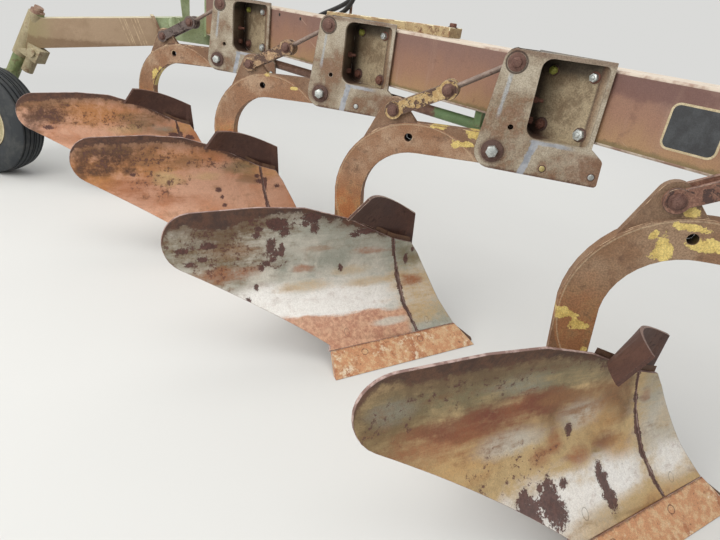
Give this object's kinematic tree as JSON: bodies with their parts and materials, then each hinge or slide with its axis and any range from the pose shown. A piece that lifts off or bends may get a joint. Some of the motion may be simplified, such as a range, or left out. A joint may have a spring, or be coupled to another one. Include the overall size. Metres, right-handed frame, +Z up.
{
  "type": "semi-mounted moldboard plough",
  "caption": "Right-hand semi-mounted moldboard plough: trip bottoms on brackets along a slanted box beam, steered rear furrow wheel, swivelling two-point hitch and front parking stand.",
  "frame": {"origin": "middle of the outline in plan, on the ground that the soles, wheel and stand rest on", "axes": "+X forward, the way it is pulled; +Y to the left of travel; +Z up"},
  "size_m": [4.5359, 2.3192, 1.134],
  "materials": {
    "beam_paint": "faded red-brown paint, chalky",
    "arm_paint": "faded tan paint turning green",
    "bar_paint": "worn cream paint over rust",
    "bracket_paint": "faded pale green paint, rusty lower edge",
    "hose_rubber": "black hydraulic hose",
    "casting": "weathered grey-beige paint over cast iron, rust at edges",
    "shank_rust": "orange-brown rust with remains of yellow paint",
    "toggle_paint": "flaking yellow paint over rust",
    "rod_rust": "dark rust",
    "board_steel": "scoured steel with rust patches",
    "share_rust": "orange rust",
    "frog_iron": "dark rust",
    "trash_rust": "dark red-brown rust",
    "tyre_rubber": "aged dark rubber",
    "rim_paint": "faded cream paint, rusty",
    "hitch_steel": "worn red-brown paint over rust"
  },
  "bodies": {
    "frame": {"beam": "beam_paint", "top_bar": "bar_paint", "tail_bracket": "bracket_paint", "tail_arm": "arm_paint", "hoses": "hose_rubber", "hose_holder": "hitch_steel", "spindle_head": "arm_paint", "steering_rod": "arm_paint", "headstock": "beam_paint", "stand_bracket": "hitch_steel", "bracket_1": "casting", "bracket_2": "casting", "bracket_3": "casting", "bracket_4": "casting"},
    "wheel_leg": {"wheel_leg": "arm_paint"},
    "wheel": {"wheel_rim": "rim_paint", "tyre": "tyre_rubber"},
    "hitch_yoke": {"hitch_yoke": "hitch_steel"},
    "cross_shaft": {"cross_shaft": "rod_rust"},
    "stand_leg": {"stand_leg": "hitch_steel"},
    "bottom_1": {"shank_1": "shank_rust", "frog_1": "frog_iron", "share_1": "share_rust", "shin_1": "board_steel", "moldboard_1": "board_steel", "trash_board_1": "trash_rust"},
    "toggle_strap_1": {"strap_1": "toggle_paint"},
    "toggle_rod_1": {"toggle_rod_1": "rod_rust"},
    "bottom_2": {"shank_2": "shank_rust", "frog_2": "frog_iron", "share_2": "share_rust", "shin_2": "board_steel", "moldboard_2": "board_steel", "trash_board_2": "trash_rust"},
    "toggle_strap_2": {"strap_2": "toggle_paint"},
    "toggle_rod_2": {"toggle_rod_2": "rod_rust"},
    "bottom_3": {"shank_3": "shank_rust", "frog_3": "frog_iron", "share_3": "share_rust", "shin_3": "board_steel", "moldboard_3": "board_steel", "trash_board_3": "trash_rust"},
    "toggle_strap_3": {"strap_3": "toggle_paint"},
    "toggle_rod_3": {"toggle_rod_3": "rod_rust"},
    "bottom_4": {"shank_4": "shank_rust", "frog_4": "frog_iron", "share_4": "share_rust", "shin_4": "board_steel", "moldboard_4": "board_steel", "trash_board_4": "trash_rust"},
    "toggle_strap_4": {"strap_4": "toggle_paint"},
    "toggle_rod_4": {"toggle_rod_4": "rod_rust"}
  },
  "joints": [
    {"name": "trip_1", "type": "hinge", "parent": "frame", "child": "bottom_1", "pos_m": [1.195, -0.68044, 0.69], "axis": [0, 1, 0], "range_deg": [0, 35]},
    {"name": "strap_fold_1", "type": "hinge", "parent": "bottom_1", "child": "toggle_strap_1", "pos_m": [0.881, -0.68044, 0.752], "axis": [0, 1, 0], "range_deg": [-67.68, 0]},
    {"name": "rod_fold_1", "type": "hinge", "parent": "frame", "child": "toggle_rod_1", "pos_m": [1.207, -0.68044, 0.938], "axis": [0, 1, 0], "range_deg": [0, 73.91]},
    {"name": "trip_2", "type": "hinge", "parent": "frame", "child": "bottom_2", "pos_m": [0.49, -0.22344, 0.69], "axis": [0, 1, 0], "range_deg": [0, 35]},
    {"name": "strap_fold_2", "type": "hinge", "parent": "bottom_2", "child": "toggle_strap_2", "pos_m": [0.176, -0.22344, 0.752], "axis": [0, 1, 0], "range_deg": [-67.68, 0]},
    {"name": "rod_fold_2", "type": "hinge", "parent": "frame", "child": "toggle_rod_2", "pos_m": [0.502, -0.22344, 0.938], "axis": [0, 1, 0], "range_deg": [0, 73.91]},
    {"name": "trip_3", "type": "hinge", "parent": "frame", "child": "bottom_3", "pos_m": [-0.215, 0.23356, 0.69], "axis": [0, 1, 0], "range_deg": [0, 35]},
    {"name": "strap_fold_3", "type": "hinge", "parent": "bottom_3", "child": "toggle_strap_3", "pos_m": [-0.529, 0.23356, 0.752], "axis": [0, 1, 0], "range_deg": [-67.68, 0]},
    {"name": "rod_fold_3", "type": "hinge", "parent": "frame", "child": "toggle_rod_3", "pos_m": [-0.203, 0.23356, 0.938], "axis": [0, 1, 0], "range_deg": [0, 73.91]},
    {"name": "trip_4", "type": "hinge", "parent": "frame", "child": "bottom_4", "pos_m": [-0.92, 0.69056, 0.69], "axis": [0, 1, 0], "range_deg": [0, 35]},
    {"name": "strap_fold_4", "type": "hinge", "parent": "bottom_4", "child": "toggle_strap_4", "pos_m": [-1.234, 0.69056, 0.752], "axis": [0, 1, 0], "range_deg": [-67.68, 0]},
    {"name": "rod_fold_4", "type": "hinge", "parent": "frame", "child": "toggle_rod_4", "pos_m": [-0.908, 0.69056, 0.938], "axis": [0, 1, 0], "range_deg": [0, 73.91]},
    {"name": "wheel_steer", "type": "hinge", "parent": "frame", "child": "wheel_leg", "pos_m": [-1.886, 0.49856, 0.686], "axis": [0.4573, 0.1392, 0.8784], "range_deg": [-8, 22]},
    {"name": "wheel_spin", "type": "hinge", "parent": "wheel_leg", "child": "wheel", "pos_m": [-2.004, 0.30456, 0.264], "axis": [0, 1, 0], "continuous": true},
    {"name": "hitch_swivel", "type": "hinge", "parent": "frame", "child": "hitch_yoke", "pos_m": [1.99, -0.43144, 0.855], "axis": [0, 0, 1], "range_deg": [-30, 30]},
    {"name": "cross_shaft_turn", "type": "hinge", "parent": "hitch_yoke", "child": "cross_shaft", "pos_m": [2.22, -0.43144, 0.855], "axis": [0, 1, 0], "range_deg": [-25, 25]},
    {"name": "stand_swing", "type": "hinge", "parent": "frame", "child": "stand_leg", "pos_m": [1.79, -0.56144, 0.63], "axis": [0, 1, 0], "range_deg": [0, 90]}
  ],
  "couplings": [
    {"joint": "strap_fold_1", "follows": "trip_1", "ratio": -1.9193},
    {"joint": "rod_fold_1", "follows": "trip_1", "ratio": 2.0974},
    {"joint": "strap_fold_2", "follows": "trip_2", "ratio": -1.9193},
    {"joint": "rod_fold_2", "follows": "trip_2", "ratio": 2.0974},
    {"joint": "strap_fold_3", "follows": "trip_3", "ratio": -1.9193},
    {"joint": "rod_fold_3", "follows": "trip_3", "ratio": 2.0974},
    {"joint": "strap_fold_4", "follows": "trip_4", "ratio": -1.9193},
    {"joint": "rod_fold_4", "follows": "trip_4", "ratio": 2.0974}
  ]
}
